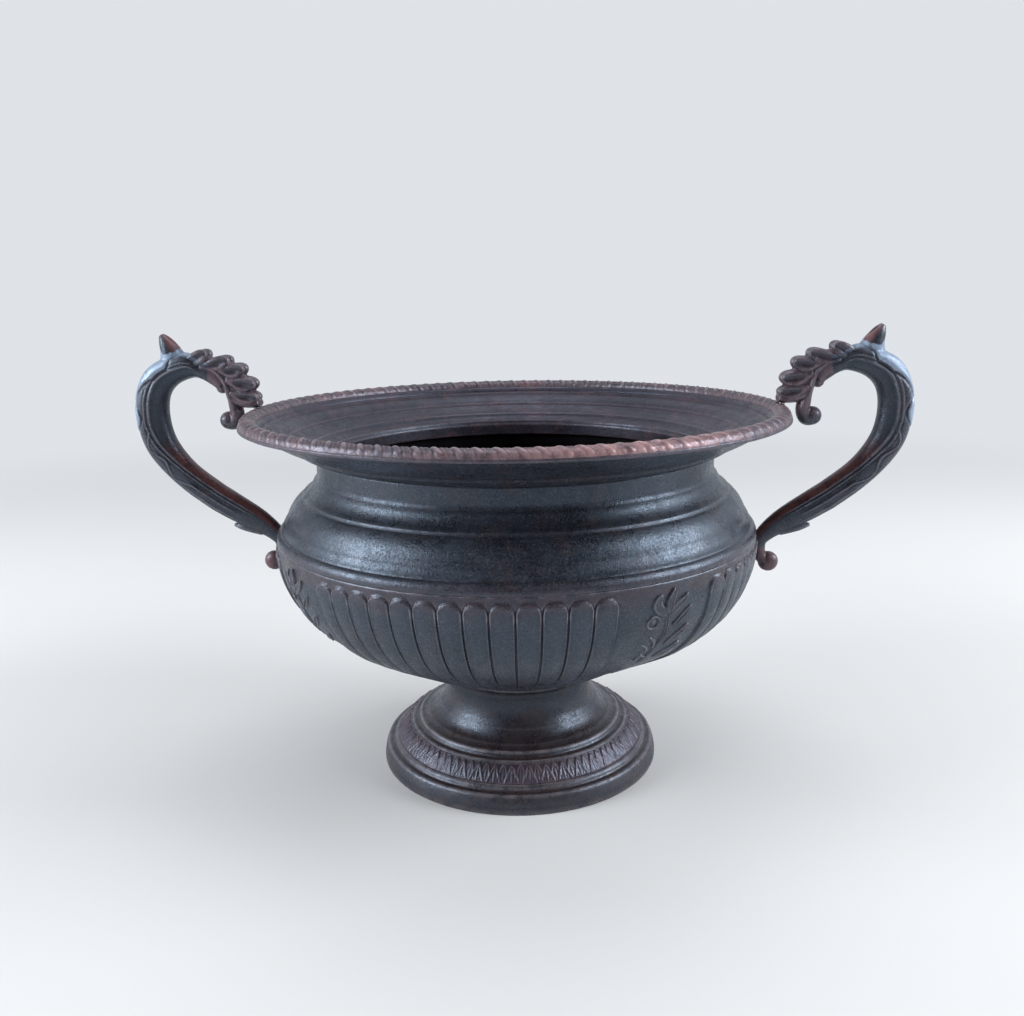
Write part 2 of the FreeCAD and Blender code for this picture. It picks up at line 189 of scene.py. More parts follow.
def markRelief(piece, bendRadius, passes):
    # stores how sharply each spot stands out or lies in (hollow), against a bend of that radius; what stands
    # out is lightened as wear and as a painted highlight on crests, edges and beads
    data = piece.data
    count = len(data.vertices)
    places = readRows(data.vertices, "co", 3, float) / mm
    outward = readRows(data.vertices, "normal", 3, float)
    first, second = readRows(data.edges, "vertices", 2, int).T
    step = places[first] - places[second]
    length = np.maximum(np.linalg.norm(step, axis=1), shortestEdge)
    total = np.zeros(count)
    weight = np.zeros(count)
    for here, sign in ((first, 1), (second, -1)):
        bend = 2 * sign * (step * outward[here]).sum(1) / length ** 2
        np.add.at(total, here, bend * length)
        np.add.at(weight, here, length)
    bend = total / np.maximum(weight, shortestEdge)
    for _ in range(passes):
        total = np.bincount(first, bend[second], count) + np.bincount(second, bend[first], count)
        degree = np.bincount(first, minlength=count) + np.bincount(second, minlength=count)
        bend = 0.5 * bend + 0.5 * total / np.maximum(degree, 1)
    for layer, sign in (("crestWearAndHighlight", 1), ("hollow", -1)):
        storeLayer(data, layer, np.clip(sign * bend * bendRadius, 0, 1).astype(np.float32))


def addLayer(piece, name, share):
    # share gives 0 to 1 for a place in mm
    storeLayer(piece.data, name, [clamp(share(vert.co / mm)) for vert in piece.data.vertices])


def byHeight(none, full, share=1.0):
    # a layer that grows from none at one height to its share at another
    return lambda spot: ease(spot.z, none, full) * share


def place(piece, slotName, material, node, bend, inner=None, passes=1):
    markRelief(piece, bend, passes)
    piece.data.materials.append(material)
    piece.data.materials.append(inner or material)
    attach(piece, "root")
    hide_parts(node)
    return piece


# materials

# each pattern: repeats in a metre, detail, roughness, and where in the noise it starts and is full
patterns = {
    "patches": (24, 4, 0.55, 0.36, 0.64), "stains": (70, 5, 0.65, 0.47, 0.72),
    "specks": (850, 2.5, 0.65, 0.50, 0.68), "dots": (1150, 2, 0.6, 0.53, 0.68),
    "breaks": (160, 4, 0.6, 0.3, 0.6), "gloss": (90, 5, 0.65, 0.35, 0.68),
    "dulling": (1000, 2, 0.6, 0.44, 0.62), "insideShadeMottle": (60, 4, 0.55, 0.35, 0.65),
    "brushing": (300, 3, 0.55, 0.3, 0.7),
}
# each bump: repeats in a metre, detail, roughness
bumps = {"pits": (420, 3, 0.6), "grain": (1500, 2, 0.6)}
patinaSizes = {"dotShare": 0.75, "leastBroken": 0.3, "dulling": (0.82, 1.45), "bumpStrength": 0.5}


def startMaterial(name):
    material = bpy.data.materials.new(name)
    material.use_nodes = True
    tree = material.node_tree
    return material, tree, tree.nodes["Principled BSDF"]


def fill(node, settings):
    for socket, value in settings.items():
        node.inputs[socket].default_value = value


def cloud(tree, scale, detail, roughness):
    # noise in the object's own coordinates; scale is repeats in a metre
    place = tree.nodes.new("ShaderNodeTexCoord")
    noise = tree.nodes.new("ShaderNodeTexNoise")
    fill(noise, {"Scale": scale, "Detail": detail, "Roughness": roughness})
    tree.links.new(place.outputs["Object"], noise.inputs["Vector"])
    return noise.outputs["Fac"]


def spread(tree, value, low, high, lowOut=0.0, highOut=1.0):
    node = tree.nodes.new("ShaderNodeMapRange")
    node.interpolation_type = "SMOOTHSTEP"
    fill(node, {"From Min": low, "From Max": high, "To Min": lowOut, "To Max": highOut})
    tree.links.new(value, node.inputs["Value"])
    return node.outputs["Result"]


def pattern(tree, name, lowOut=0.0, highOut=1.0):
    scale, detail, roughness, low, high = patterns[name]
    return spread(tree, cloud(tree, scale, detail, roughness), low, high, lowOut, highOut)


def combine(tree, operation, first, second):
    node = tree.nodes.new("ShaderNodeMath")
    node.operation = operation
    for socket, value in zip(node.inputs, (first, second)):
        if isinstance(value, (int, float)):
            socket.default_value = value
        else:
            tree.links.new(value, socket)
    return node.outputs["Value"]


def times(tree, first, second):
    return combine(tree, "MULTIPLY", first, second)


def blendColour(tree, factor, under, over):
    node = tree.nodes.new("ShaderNodeMix")
    node.data_type = "RGBA"
    tree.links.new(factor, node.inputs["Factor"])
    # sockets 6, 7 and the output 2 are the node's colour ones
    for socket, value in ((node.inputs[6], under), (node.inputs[7], over)):
        if isinstance(value, tuple):
            socket.default_value = (*value, 1)
        else:
            tree.links.new(value, socket)
    return node.outputs[2]


def layer(tree, name):
    node = tree.nodes.new("ShaderNodeAttribute")
    node.attribute_name = name
    return node.outputs["Fac"]


def bump(tree, name, depth, under=None):
    node = tree.nodes.new("ShaderNodeBump")
    fill(node, {"Strength": patinaSizes["bumpStrength"], "Distance": depth * mm})
    tree.links.new(cloud(tree, *bumps[name]), node.inputs["Height"])
    if under is not None:
        tree.links.new(under, node.inputs["Normal"])
    return node.outputs["Normal"]


def patina(name, look):
    material, tree, shader = startMaterial(name)
    colour = blendColour(tree, pattern(tree, "patches"), look["dark"], look["base"])
    for kind in ("stain", "speck"):
        amount = times(tree, pattern(tree, kind + "s"), look[kind + "Share"])
        colour = blendColour(tree, amount, colour, look[kind])
    dots = times(tree, pattern(tree, "dots"), patinaSizes["dotShare"])
    colour = blendColour(tree, dots, colour, look["dark"])
    broken = pattern(tree, "breaks", patinaSizes["leastBroken"])
    for tint, (red, green, blue, share) in look["tints"].items():
        amount = times(tree, layer(tree, tint), times(tree, broken, share))
        colour = blendColour(tree, amount, colour, (red, green, blue))
    hollow = times(tree, layer(tree, "hollow"), look["hollowShare"])
    colour = blendColour(tree, hollow, colour, look["hollow"])
    # crests are lightened: partly wear, partly a painted highlight on edges and beads
    rubbed = times(tree, layer(tree, "crestWearAndHighlight"), broken)
    colour = blendColour(tree, times(tree, rubbed, look["crestWearAndHighlightShare"]), colour, look["crestWearAndHighlight"])
    tree.links.new(colour, shader.inputs["Base Color"])
    gloss = pattern(tree, "gloss", *look["gloss"])
    dulling = pattern(tree, "dulling", *patinaSizes["dulling"])
    tree.links.new(times(tree, gloss, dulling), shader.inputs["Roughness"])
    fill(shader, {"Specular Tint": (*look["sheen"], 1), "Specular IOR Level": look["shine"],
                  "Metallic": look["metal"]})
    coarse = bump(tree, "pits", look["pits"])
    tree.links.new(bump(tree, "grain", look["grain"], coarse), shader.inputs["Normal"])
    return material


# painted shade: the inner walls of the bowl and shoulder are coloured near-black, mottled, to stand for the
# shade inside the urn
paintedShadeInsideLook = {
    "dark": (0.0030, 0.0030, 0.0050), "light": (0.0085, 0.0080, 0.0105), "roughness": 0.8, "shine": 0.2,
}


def paintedShadeInside(name):
    material, tree, shader = startMaterial(name)
    colour = blendColour(tree, pattern(tree, "insideShadeMottle"), paintedShadeInsideLook["dark"], paintedShadeInsideLook["light"])
    tree.links.new(colour, shader.inputs["Base Color"])
    fill(shader, {"Roughness": paintedShadeInsideLook["roughness"], "Specular IOR Level": paintedShadeInsideLook["shine"]})
    return material


# colours are linear red, green and blue; a tint is a layer of the mesh with its colour and share
bodyLook = {
    "dark": (0.0070, 0.0068, 0.0100), "base": (0.019, 0.0212, 0.029),
    "stain": (0.042, 0.024, 0.022), "stainShare": 0.85,
    "speck": (0.125, 0.130, 0.165), "speckShare": 0.38, "sheen": (0.62, 0.79, 1.0),
    "hollow": (0.055, 0.024, 0.019), "hollowShare": 0.9,
    # the crest colour is partly wear, partly a painted highlight
    "crestWearAndHighlight": (0.24, 0.22, 0.25), "crestWearAndHighlightShare": 0.8,
    "tints": {"rust": (0.048, 0.018, 0.016, 0.8)},
    "gloss": (0.29, 0.47), "metal": 0.15, "shine": 1.0, "pits": 0.34, "grain": 0.26,
}
footLook = dict(bodyLook, base=(0.019, 0.0155, 0.0145), stain=(0.046, 0.025, 0.014), stainShare=0.9,
                crestWearAndHighlight=(0.36, 0.32, 0.34), crestWearAndHighlightShare=1.0, speck=(0.070, 0.056, 0.058))
leafLook = dict(footLook, base=(0.060, 0.040, 0.054), stain=(0.075, 0.038, 0.034), crestWearAndHighlight=(0.28, 0.20, 0.24))
rimLook = dict(bodyLook, base=(0.038, 0.026, 0.036), dark=(0.014, 0.010, 0.015), stain=(0.080, 0.036, 0.040),
               crestWearAndHighlight=(0.34, 0.25, 0.28), gloss=(0.33, 0.50), speck=(0.13, 0.10, 0.13), shine=0.75)
ropeLook = dict(bodyLook, base=(0.056, 0.038, 0.049), dark=(0.026, 0.018, 0.025), shine=0.75,
                crestWearAndHighlight=(0.70, 0.50, 0.50), crestWearAndHighlightShare=1.0, stain=(0.15, 0.065, 0.065),
                hollow=(0.016, 0.009, 0.011), tints={"copper": (0.42, 0.21, 0.19, 0.9)})
# the handle's darkest tint is painted shade, on the upper inner band and on the lobes' sides
handleLook = dict(bodyLook, base=(0.022, 0.018, 0.022), dark=(0.010, 0.008, 0.011),
                  hollow=(0.018, 0.009, 0.010), stain=(0.048, 0.020, 0.018), crestWearAndHighlight=(0.28, 0.26, 0.29),
                  shine=0.85,
                  # the pale tint is a painted highlight, partly wear, on the shield, the small lobe, the
                  # outer back, the thumb's edge and the spur
                  tints={"rust": (0.150, 0.040, 0.025, 1.2), "pink": (0.125, 0.062, 0.068, 0.95),
                         "paintedShade": (0.012, 0.012, 0.017, 1.0), "paleHighlightAndWear": (0.27, 0.34, 0.45, 2.0)})
bodyMetal = patina("bodyPatina", bodyLook)
footMetal = patina("footPatina", footLook)
leafMetal = patina("leafBandPatina", leafLook)
rimMetal = patina("rimPatina", rimLook)
ropeMetal = patina("rubbedRimPatina", ropeLook)
handleMetal = patina("handlePatina", handleLook)
paintedShadeInsideMetal = paintedShadeInside("insidePaintedShade")
print("materials made")


# foot

footSizes = {"radius": 94.2, "boltHole": 5.4, "plate": 4.0, "columns": 240, "rust": 0.3, "rustFade": 25}
leafBandSizes = {
    "leaves": 46, "leafColumns": 20, "rows": 18, "low": 15.4, "high": 24.6, "slope": 13.0,
    "lift": 1.15, "sink": 0.15, "lowFade": 0.08, "highFade": 0.06,
    # one leaf, in halves of its cell
    "half": 0.95, "taper": 0.7, "edge": 0.16, "body": 0.3, "lip": 0.6, "lipAt": 0.12,
    "rib": 0.35, "ribHalf": 0.12, "ribFade": 0.2,
    # the front row is a little shorter than the one behind it, which is lower
    "frontLength": 1.04, "backLength": 0.98, "backShare": 0.6,
}


def makeFoot():
    # outlines hold radius and height in mm, and the swell of the run up to the point
    radius, hole = footSizes["radius"], footSizes["boltHole"]
    plateUnder = seat - footSizes["plate"]
    outline = [
        (radius, 0.0, 0), (93.9, 4.0, 0.2), (91.9, 11.0, 0.3), (91.0, 11.7, 0.2), (87.0, 12.2, -0.2),
        (86.2, 14.6, 0.7), (84.3, 15.4, 0.5), (83.6, 15.6, 0), (75.6, 23.6, 0.4), (75.0, 24.3, 0),
        (72.4, 25.6, 0.9), (69.6, 27.3, -0.7), (66.9, 29.2, 1.0), (63.0, 31.2, -0.2),
        (55.0, 38.0, -1.1), (51.2, 45.0, -0.5), (50.3, 50.0, -0.2), (50.9, 58.0, -0.3), (52.6, 62.5, -0.4),
        (52.6, 64.0, 0),
    ]
    outside = traceOutline(outline, 1.3)
    underside = [
        (hole, seat, 0), (hole, plateUnder, 0), (47.0, plateUnder, 0), (47.2, 50.0, 0), (52.0, 36.5, 0.8),
        (63.5, 26.0, 0.4), (88.0, 9.0, 0), (88.2, 0.0, 0),
    ]
    inside = traceOutline(underside, 6)
    return spinWall("foot", outside, inside, evenAngles(footSizes["columns"]))


def leafLift(across, along):
    # one pointed leaf: across -1..1 in its cell, along 0 at its foot to 1 at its tip
    sizes = leafBandSizes
    half = sizes["half"] * max(0.0, 1 - along) ** sizes["taper"]
    inset = half - abs(across)
    body = ease(inset, 0, sizes["edge"]) * sizes["body"]
    rib = hump(across, 0, sizes["ribHalf"]) * ease(1 - along, 0, sizes["ribFade"]) * sizes["rib"]
    lip = hump(inset, sizes["lipAt"], sizes["lipAt"]) * sizes["lip"]
    return body + lip + rib


def makeLeafBand():
    sizes = leafBandSizes
    low, high = sizes["low"], sizes["high"]
    outline = [(84.2, 15.0, 0), (84.4, low, 0), (75.2, high, 0.6), (74.8, high, 0)]
    outside = traceOutline(outline, sizes["slope"] / sizes["rows"])
    inside = [inPlane(75.5, 21.0), inPlane(82.0, 14.5)]
    columns = evenAngles(sizes["leaves"] * sizes["leafColumns"])

    def relief(k, column):
        along = clamp((outside[k].z - low) / (high - low))
        fade = ease(along, 0.0, sizes["lowFade"]) * ease(1 - along, 0.0, sizes["highFade"])
        cell = column / sizes["leafColumns"]
        across = 2 * (cell - math.floor(cell)) - 1
        behind = 2 * (cell + 0.5 - math.floor(cell + 0.5)) - 1
        front = leafLift(across, along * sizes["frontLength"])
        back = leafLift(behind, along * sizes["backLength"]) * sizes["backShare"]
        return fade * (max(front, back) * sizes["lift"] - sizes["sink"])

    return spinWall("leafBand", outside, inside, columns, relief)


foot = place(makeFoot(), "foot_metal", footMetal, "foot", 2.2)
leafBand = place(makeLeafBand(), "foot_metal", leafMetal, "foot", 0.9)
for piece in (foot, leafBand):
    addLayer(piece, "rust", byHeight(seat, seat - footSizes["rustFade"], footSizes["rust"]))
print("foot made")


# bowl

bowlSizes = {
    "wall": 3.0, "groups": 4, "flutes": 13, "pitch": math.radians(5.1), "firstPanel": math.radians(35.6),
    # the flutes' ends above the seat, the groove between them there and at the crown, and their lift
    "low": 14.0, "crown": 93.4, "groove": (0.5, 1.1), "relief": 1.0, "reliefEdge": (-0.1, 0.5),
    "lip": 0.28, "lipAt": 0.5, "lipHalf": 0.5, "dent": 0.35, "dentAt": -0.35, "dentHalf": 0.6,
    "swell": 0.5, "swellRise": 3, "pastLow": 1, "pastCrown": 2,
    "ring": 0.6, "ringAt": 12.6, "ringHalf": 1.0, "rust": (13, 3),
    # spacing of the rows up to each height above the seat, close where the flutes begin and end
    "rows": [(10, 5.0), (17, 0.6), (83, 4.0), (200, 0.6)], "finestRow": 0.6, "rowSlack": 0.98,
    "panelColumns": 22, "innerStep": 12.0,
}
# places of the columns across one flute, in pitches
fluteColumns = (-0.5, -0.478, -0.455, -0.43, -0.40, -0.34, -0.2, 0.0, 0.2, 0.34, 0.40, 0.43, 0.455, 0.478)


def bowlOutline():
    return [
        (footSizes["boltHole"], seat, 0), (49.0, seat, 0), (67.0, seat + 6.0, 1.0), (76.0, seat + 10.9, 0.1),
        (121.4, seat + 35.4, 0), (156.0, seam - 3.5, 9.3), (156.0, seam, 0),
    ]


def bowlPoints():
    sizes = bowlSizes
    rough = traceOutline(bowlOutline(), sizes["finestRow"])
    chosen = [rough[0]]
    for point in rough[1:]:
        gap = next(gap for top, gap in sizes["rows"] if point.z - seat < top)
        if (point - chosen[-1]).length >= gap * sizes["rowSlack"]:
            chosen.append(point)
    if chosen[-1] != rough[-1]:
        chosen.append(rough[-1])
    return chosen


def bowlColumns():
    # each column's angle from +X, and its way from the middle of its flute, or None on a plain panel
    sizes = bowlSizes
    span = math.tau / sizes["groups"]
    panelSpan = span - sizes["flutes"] * sizes["pitch"]
    columns = []
    for group in range(sizes["groups"]):
        panelEnd = sizes["firstPanel"] + span * group + panelSpan / 2 - math.pi / 2
        for k in range(sizes["flutes"]):
            middle = panelEnd + (k + 0.5) * sizes["pitch"]
            columns += [(middle + share * sizes["pitch"], share * sizes["pitch"]) for share in fluteColumns]
        start = panelEnd + sizes["flutes"] * sizes["pitch"]
        count = sizes["panelColumns"]
        columns += [(start + panelSpan * k / count, None) for k in range(count)]
    return columns


def makeBowl():
    sizes = bowlSizes
    outside = bowlPoints()
    rough = traceOutline(bowlOutline(), sizes["innerStep"])
    inside = innerWall(rough, sizes["wall"], 1)
    columns = bowlColumns()
    run = [0.0]
    for first, second in zip(outside, outside[1:]):
        run.append(run[-1] + (second - first).length)
    crownAt = next(run[k] for k, point in enumerate(outside) if point.z > seat + sizes["crown"])
    lowAt = next(run[k] for k, point in enumerate(outside) if point.z > seat + sizes["low"])

    def relief(k, column):
        radius, height = outside[k].x, outside[k].z - seat
        ring = hump(height, sizes["ringAt"], sizes["ringHalf"]) * sizes["ring"]
        away = columns[column][1]
        fromTop, fromLow = crownAt - run[k], run[k] - lowAt
        if away is None or fromLow < -sizes["pastLow"] or fromTop < -sizes["pastCrown"]:
            return ring
        share = clamp(fromTop / (crownAt - lowAt))
        groove = sizes["groove"][0] + (sizes["groove"][1] - sizes["groove"][0]) * share
        half = radius * math.tan(sizes["pitch"] / 2) - groove / 2
        sideways = abs(radius * math.tan(away))
        # how far inside the flute's edge, round its arched top
        if fromTop < half:
            inset = half - math.hypot(sideways, half - fromTop)
        else:
            inset = half - sideways
        inset = min(inset, fromLow)
        body = ease(inset, *sizes["reliefEdge"]) * sizes["relief"]
        lip = hump(inset, sizes["lipAt"], sizes["lipHalf"]) * sizes["lip"]
        dent = hump(inset, sizes["dentAt"], sizes["dentHalf"]) * sizes["dent"]
        swell = sizes["swell"] * clamp(1 - (sideways / half) ** 2) * ease(inset, 0, sizes["swellRise"])
        return ring + body + lip + swell - dent

    return spinWall("bowl", outside, inside, [column[0] for column in columns], relief)


# the bowl's inner wall takes the near-black painted shade
bowl = place(makeBowl(), "body_metal", bodyMetal, "bowl", 2.0, paintedShadeInsideMetal)
addLayer(bowl, "rust", byHeight(*(seam - below for below in bowlSizes["rust"])))
print("bowl made")


# flower sprays on the plain panels

# each piece: line as (degrees from the panel's middle, mm below the seam), half width, dome, edge and kind
sprayPieces = [
    ([(0.2, 19.2), (-2.6, 14.5), (-3.0, 9.8), (-2.0, 6.6)], 3.8, 1.3, 1.1, "petal"),
    ([(0.2, 19.0), (0.1, 12.5), (0.6, 8.0), (1.1, 3.9)], 3.6, 1.4, 1.2, "petal"),
    ([(0.3, 19.0), (1.9, 15.5), (3.6, 12.4), (4.9, 8.8)], 3.0, 1.2, 1.1, "petal"),
    ([(0.0, 18.6), (0.3, 24.1), (0.6, 30.3), (0.1, 37.9), (-0.9, 48.5), (-1.9, 59.6)],
     1.5, 0.3, 0.9, "strip"),
    ([(1.3, 19.6), (2.2, 15.5), (3.2, 11.2)], 1.3, 0.2, 0.8, "strip"),
    ([(2.2, 28.4), (4.2, 23.6), (6.5, 17.2)], 2.5, 0.1, 1.5, "blade"),
    ([(2.1, 43.2), (4.6, 37.2), (7.4, 29.8)], 2.8, 0.1, 1.5, "blade"),
    ([(2.2, 57.0), (4.8, 51.2), (7.6, 44.6)], 2.8, 0.1, 1.5, "blade"),
    ([(-3.3, 33.2), (-1.6, 37.4), (-1.2, 42.9)], 1.5, 1.4, 0.0, "blade"),
    ([(-4.7, 38.3), (-3.0, 41.8), (-2.7, 45.8)], 1.3, 1.2, 0.0, "blade"),
    ([(-3.7, 46.5), (-2.9, 49.6), (-1.5, 51.5)], 1.3, 1.2, 0.0, "blade"),
    ([(-5.8, 51.0), (-4.2, 54.6), (-3.7, 50.6)], 1.4, 1.2, 0.0, "blade"),
]
spraySizes = {
    "rows": 18, "across": 10, "sink": 0.35, "tuck": 0.3, "tuckFrom": 0.9, "ends": (-0.02, 0.08),
    "ahead": 0.02, "edgeAt": 0.68, "edgeHalf": 0.32, "rust": 0.25,
    # the round bud: degrees from the panel's middle and mm below the seam, then parts of its radius
    "bud": (-3.4, 22.9), "budRadius": 4.9, "budAcross": 20, "budRing": 1.3, "budRingAt": 0.78,
    "budRingHalf": 0.22, "budHeart": 0.9, "budHeartRadius": 0.55, "budTuckFrom": 0.93,
}
# the bowl's outside from the seam down: radius, height and the way out at each mm of run
bowlDown = traceOutline(bowlOutline(), 1.0)[::-1]
downRuns = np.cumsum([0.0] + [(b - a).length for a, b in zip(bowlDown, bowlDown[1:])])
downNormals = sideNormals(bowlDown[::-1])[::-1]
downTable = np.array([(point.x, point.z, out.x, out.z) for point, out in zip(bowlDown, downNormals)]).T


def onBowl(middle, sideways, down, lift):
    # sideways in mm along the wall from the panel's middle line
    radius, height, outward, upward = (float(np.interp(down, downRuns, column)) for column in downTable)
    angle = middle + sideways / radius
    reach = radius + outward * lift
    return Vector((math.cos(angle) * reach, math.sin(angle) * reach, height + upward * lift))


def bowlRadius(down):
    return float(np.interp(down, downRuns, downTable[0]))


def leafWidth(kind, t):
    if kind == "petal":
        return math.sin(math.pi * clamp(0.06 + 0.94 * t) ** 0.8) ** 0.75
    if kind == "blade":
        return math.sin(math.pi * clamp(t, 0.02, 0.98)) ** 0.6
    return 0.6 + 0.4 * (1 - t)


def addLeaf(mesh, middle, line, half, dome, edge, kind):
    sizes = spraySizes
    made = bmesh.ops.create_grid(mesh, x_segments=sizes["rows"], y_segments=sizes["across"], size=1)
    spots = [Vector((math.radians(turn) * bowlRadius(down), down, 0)) for turn, down in line]
    for vert in made["verts"]:
        t, w = (vert.co.x + 1) / 2, vert.co.y
        here = through(spots, t)
        along = wayAlong(spots, t, sizes["ahead"]).normalized()
        here = here + Vector((-along.y, along.x, 0)) * w * half * leafWidth(kind, t)
        lift = dome * (1 - w * w) + edge * hump(abs(w), sizes["edgeAt"], sizes["edgeHalf"]) - sizes["sink"]
        lift = lift * ease(min(t, 1 - t), *sizes["ends"])
        lift = lift - sizes["tuck"] * ease(abs(w), sizes["tuckFrom"], 1.0)
        vert.co = onBowl(middle, here.x, here.y, lift) * mm


def addBud(mesh, middle):
    sizes = spraySizes
    turn, down = sizes["bud"]
    radius, across = sizes["budRadius"], sizes["budAcross"]
    made = bmesh.ops.create_grid(mesh, x_segments=across, y_segments=across, size=1)
    for vert in made["verts"]:
        # the square grid drawn into a disc
        x, y = vert.co.x, vert.co.y
        x, y = x * math.sqrt(1 - y * y / 2), y * math.sqrt(1 - x * x / 2)
        far = math.hypot(x, y)
        ring = sizes["budRing"] * hump(far, sizes["budRingAt"], sizes["budRingHalf"])
        heart = sizes["budHeart"] * clamp(1 - (far / sizes["budHeartRadius"]) ** 2)
        lift = ring + heart - sizes["sink"]
        lift -= sizes["tuck"] * ease(far, sizes["budTuckFrom"], 1.0)
        sideways = math.radians(turn) * bowlRadius(down) + x * radius
        vert.co = onBowl(middle, sideways, down + y * radius, lift) * mm


def makeSprays():
    mesh = bmesh.new()
    for group in range(bowlSizes["groups"]):
        middle = bowlSizes["firstPanel"] + math.tau * group / bowlSizes["groups"] - math.pi / 2
        for line, half, dome, edge, kind in sprayPieces:
            addLeaf(mesh, middle, line, half, dome, edge, kind)
        addBud(mesh, middle)
    bmesh.ops.recalc_face_normals(mesh, faces=mesh.faces)
    outward = sum(1 if face.normal.dot(face.calc_center_median()) > 0 else -1 for face in mesh.faces)
    if outward < 0:
        bmesh.ops.reverse_faces(mesh, faces=mesh.faces)
    return finishMesh("flowerSprays", mesh)


sprays = place(makeSprays(), "body_metal", bodyMetal, "bowl", 1.6)
addLayer(sprays, "rust", lambda spot: spraySizes["rust"])
print("sprays made")


# shoulder

shoulderSizes = {"wall": 3.0, "columns": 256, "rust": 0.6, "rustHeights": (7, 2)}


def makeShoulder():
    outline = [
        (156.0, seam, 0), (156.1, seam + 1.0, 0.2), (153.3, seam + 6.3, 0.9), (152.7, seam + 6.5, 0),
        (152.3, seam + 7.0, 0), (149.0, seam + 14.0, 0.6), (139.9, seam + 26.8, 1.3),
        (138.7, seam + 27.3, 0.1), (138.4, seam + 28.6, 0), (137.8, seam + 29.2, 0.2),
        (131.0, seam + 37.0, -0.9), (128.6, seam + 41.0, -0.4), (128.5, neckTop, 0),
    ]
    outside = traceOutline(outline, 1.4)
    inside = innerWall(outside, shoulderSizes["wall"], 5)
    return spinWall("shoulder", outside, inside, evenAngles(shoulderSizes["columns"]))


# the shoulder's inner wall takes the near-black painted shade
shoulder = place(makeShoulder(), "body_metal", bodyMetal, "shoulder", 1.6, paintedShadeInsideMetal)
rustHeights = (seam + above for above in shoulderSizes["rustHeights"])
addLayer(shoulder, "rust", byHeight(*rustHeights, shoulderSizes["rust"]))
print("shoulder made")


# rim and its rope edge

rimSizes = {"columns": 288, "throat": 122.7, "collarInside": 125.3, "collarDepth": 10}
ropeSizes = {
    "inner": 163.6, "outer": 174.3, "rows": 14, "under": 0.6, "bulge": 0.55, "spare": 1.0, "lifted": 0.05,
    "repeats": 104, "strandColumns": 16, "twist": 0.75, "sink": 0.25, "fade": 0.5,
    # in shares of one repeat: the knob's middle and half width, and the reeds beside it
    "knob": (0.27, 0.27), "knobRound": 0.7, "knobLift": 1.05,
    "reeds": (0.62, 0.77, 0.91), "reedHalf": 0.085, "reedLift": 0.7,
    # where the edge is rubbed to copper: degrees from the front toward +X, and half the spread
    "rubbed": (24, 36),
}


def makeRim():
    throat, collar = rimSizes["throat"], rimSizes["collarInside"]
    collarEnd = neckTop - rimSizes["collarDepth"]
    top = [
        (lipRadius - 0.3, flange - 0.5, 0), (lipRadius - 0.8, flange, 0.1), (163.5, flange, 0),
        (160.2, flange - 4.3, 0.6), (158.8, flange - 3.9, -0.9), (157.4, flange - 5.6, -0.8),
        (147.6, flange - 11.2, 0.9), (146.2, flange - 11.3, -0.9), (144.8, flange - 13.0, -0.8),
        (133.0, flange - 17.4, -1.0), (124.2, flange - 22.0, -1.6), (throat, flange - 25.0, -0.5),
        (throat, collarEnd, 0),
    ]
    # the top face runs inwards, so its right-hand side is the upper side
    outside = traceOutline(top, 1.2)
    under = [
        (collar, collarEnd, 0), (collar, neckTop, 0), (129.5, neckTop, 0), (130.5, neckTop + 0.6, 0.3),
        (139.5, neckTop + 4.6, 0.5), (140.0, neckTop + 6.4, 0.6), (147.5, neckTop + 9.0, 0.3),
        (160.0, flange - 6.4, 0.4), (165.0, flange - 2.9, -0.3), (lipRadius - 1.6, flange - 2.6, 0),
        (lipRadius - 0.1, flange - 1.8, 0.3),
    ]
    inside = traceOutline(under, 1.8)
    return spinWall("rim", outside, inside, evenAngles(rimSizes["columns"]))


def makeRope():
    sizes = ropeSizes
    rows, inner, outer, rise = sizes["rows"], sizes["inner"], sizes["outer"], crest - flange
    crown = []
    for k in range(rows + 1):
        # from the outer edge over the crown to the inner one
        t = k / rows
        radius = outer + (inner - outer) * t
        bulge = (1 - (2 * t - 1) ** 2) ** sizes["bulge"]
        crown.append(inPlane(radius, flange + sizes["lifted"] + (rise - sizes["spare"]) * bulge))
    base = [inPlane(radius, flange - sizes["under"]) for radius in (inner, outer)]
    columns = evenAngles(sizes["repeats"] * sizes["strandColumns"])

    def relief(k, column):
        t = k / rows
        twist = sizes["twist"] * (t - 0.5)
        cell = column / sizes["strandColumns"] + twist
        share = cell - math.floor(cell)
        fade = math.sin(math.pi * clamp(t, 0.02, 0.98)) ** sizes["fade"]
        knob = hump(share, *sizes["knob"]) ** sizes["knobRound"] * sizes["knobLift"]
        reeds = max(hump(share, spot, sizes["reedHalf"]) for spot in sizes["reeds"])
        return fade * (max(knob, reeds * sizes["reedLift"]) - sizes["sink"])

    return spinWall("ropeEdge", crown, base, columns, relief)


place(makeRim(), "body_metal", rimMetal, "rim", 1.6, bodyMetal)
rope = place(makeRope(), "worn_edge_metal", ropeMetal, "rope_edge", 1.0)
addLayer(rope, "copper", lambda spot: hump(math.degrees(math.atan2(spot.x, -spot.y)), *ropeSizes["rubbed"]))
print("rim made")


# handles

